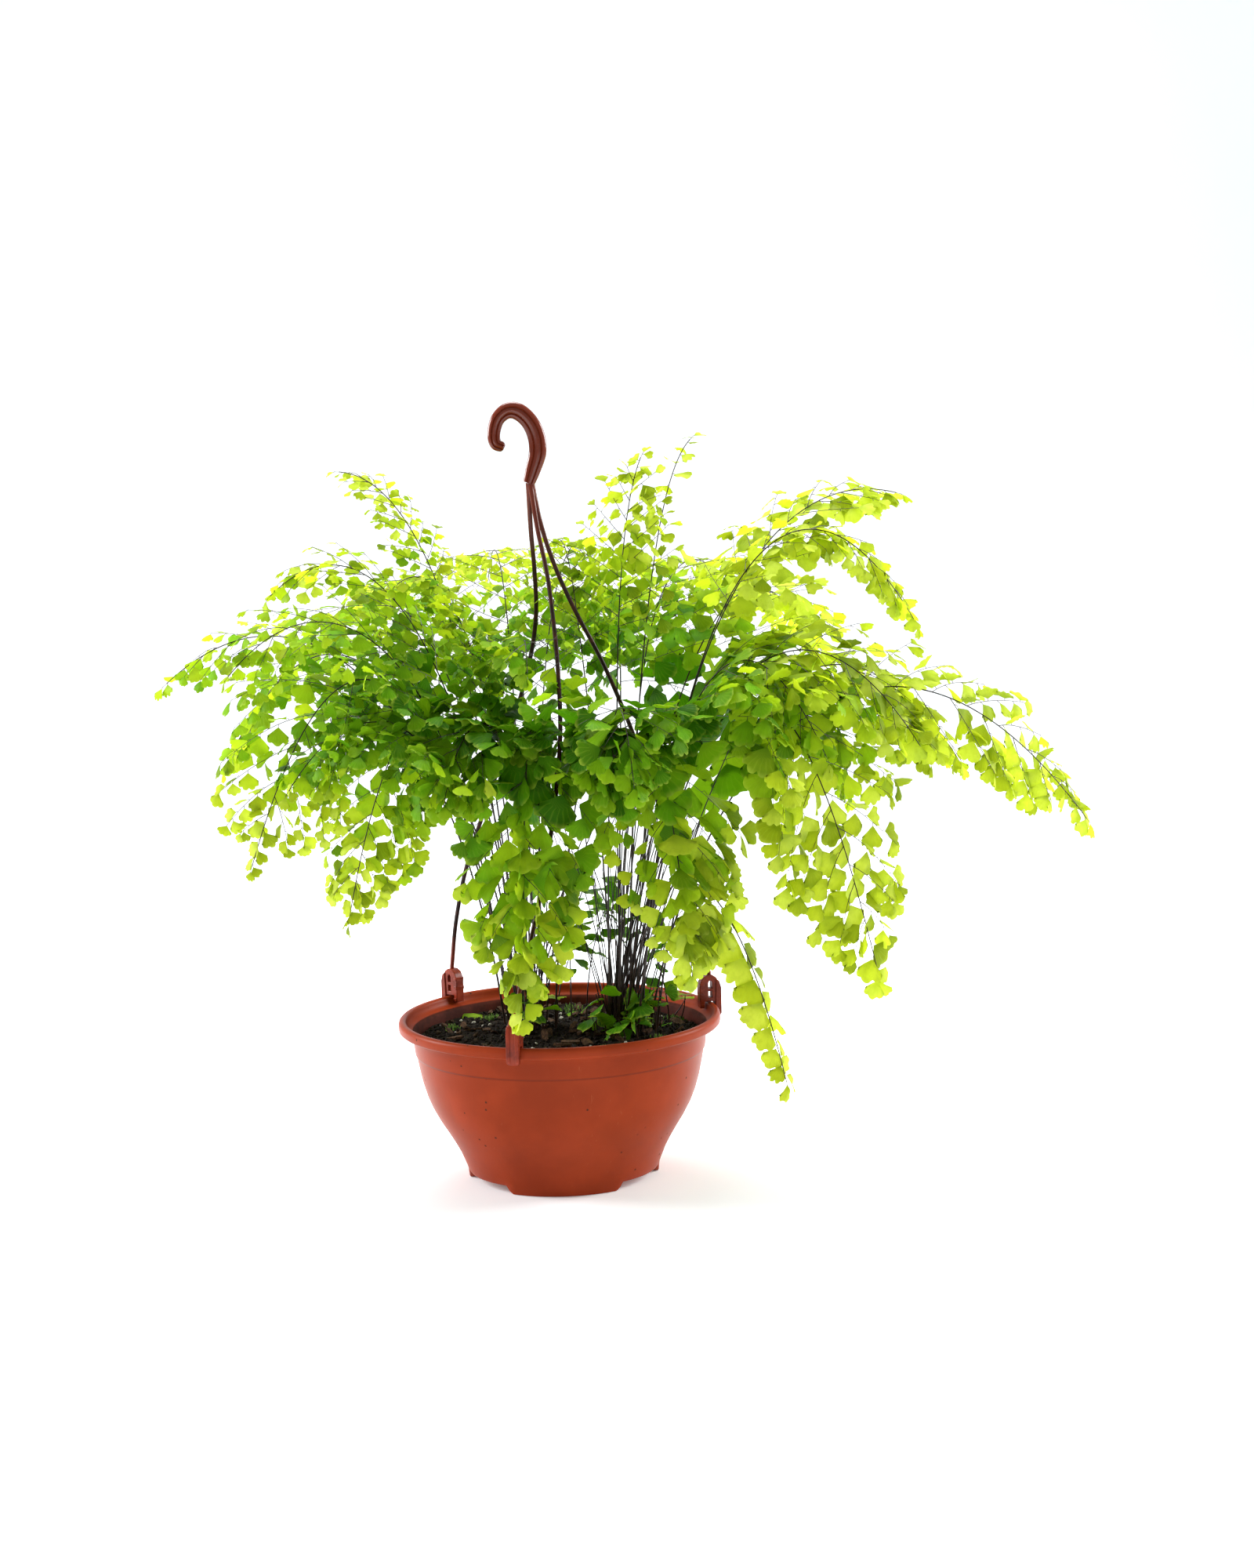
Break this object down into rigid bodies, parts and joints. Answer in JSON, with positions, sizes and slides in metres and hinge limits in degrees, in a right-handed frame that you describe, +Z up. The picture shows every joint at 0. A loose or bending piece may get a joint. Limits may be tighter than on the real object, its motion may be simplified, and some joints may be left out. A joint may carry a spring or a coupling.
{
  "type": "potted maidenhair fern",
  "caption": "Maidenhair fern with arching fronds of small fan-shaped leaflets on black wiry stalks, in a terracotta plastic hanging bowl with a three-legged hook hanger.",
  "frame": {"origin": "on the bowl's axis at the level it stands on", "axes": "+Z up along the bowl's axis; +X to the viewer's right, along the fern's widest spread; -Y towards the viewer"},
  "size_m": [0.6252, 0.3628, 0.5044],
  "materials": {
    "pot": "semi-gloss moulded terracotta plastic",
    "hanger": "glossy dark brown moulded plastic",
    "soil": "rough dark potting mix",
    "frond_01": "thin translucent green leaflets on black stalks",
    "frond_02": "thin translucent green leaflets on black stalks",
    "frond_03": "thin translucent green leaflets on black stalks",
    "frond_04": "thin translucent green leaflets on black stalks",
    "frond_05": "thin translucent green leaflets on black stalks",
    "frond_06": "thin translucent green leaflets on black stalks",
    "frond_07": "thin translucent green leaflets on black stalks",
    "frond_08": "thin translucent green leaflets on black stalks",
    "frond_09": "thin translucent green leaflets on black stalks",
    "frond_10": "thin translucent green leaflets on black stalks",
    "frond_11": "thin translucent green leaflets on black stalks",
    "frond_12": "thin translucent green leaflets on black stalks",
    "frond_13": "thin translucent green leaflets on black stalks",
    "frond_14": "thin translucent green leaflets on black stalks",
    "frond_15": "thin translucent green leaflets on black stalks",
    "frond_16": "thin translucent green leaflets on black stalks",
    "frond_17": "thin translucent green leaflets on black stalks",
    "frond_18": "thin translucent green leaflets on black stalks",
    "frond_19": "thin translucent green leaflets on black stalks",
    "frond_20": "thin translucent green leaflets on black stalks",
    "frond_21": "thin translucent green leaflets on black stalks",
    "frond_22": "thin translucent green leaflets on black stalks",
    "frond_23": "thin translucent green leaflets on black stalks",
    "frond_24": "thin translucent green leaflets on black stalks",
    "frond_25": "thin translucent green leaflets on black stalks",
    "frond_26": "thin translucent green leaflets on black stalks",
    "frond_27": "thin translucent green leaflets on black stalks",
    "frond_28": "thin translucent green leaflets on black stalks",
    "frond_29": "thin translucent green leaflets on black stalks",
    "frond_30": "thin translucent green leaflets on black stalks",
    "frond_31": "thin translucent green leaflets on black stalks",
    "frond_32": "thin translucent green leaflets on black stalks",
    "frond_33": "thin translucent green leaflets on black stalks",
    "frond_34": "thin translucent green leaflets on black stalks"
  },
  "bodies": {
    "root": {"pot": "pot", "hanger": "hanger", "soil": "soil", "frond_01": "frond_01", "frond_02": "frond_02", "frond_03": "frond_03", "frond_04": "frond_04", "frond_05": "frond_05", "frond_06": "frond_06", "frond_07": "frond_07", "frond_08": "frond_08", "frond_09": "frond_09", "frond_10": "frond_10", "frond_11": "frond_11", "frond_12": "frond_12", "frond_13": "frond_13", "frond_14": "frond_14", "frond_15": "frond_15", "frond_16": "frond_16", "frond_17": "frond_17", "frond_18": "frond_18", "frond_19": "frond_19", "frond_20": "frond_20", "frond_21": "frond_21", "frond_22": "frond_22", "frond_23": "frond_23", "frond_24": "frond_24", "frond_25": "frond_25", "frond_26": "frond_26", "frond_27": "frond_27", "frond_28": "frond_28", "frond_29": "frond_29", "frond_30": "frond_30", "frond_31": "frond_31", "frond_32": "frond_32", "frond_33": "frond_33", "frond_34": "frond_34"}
  },
  "joints": []
}
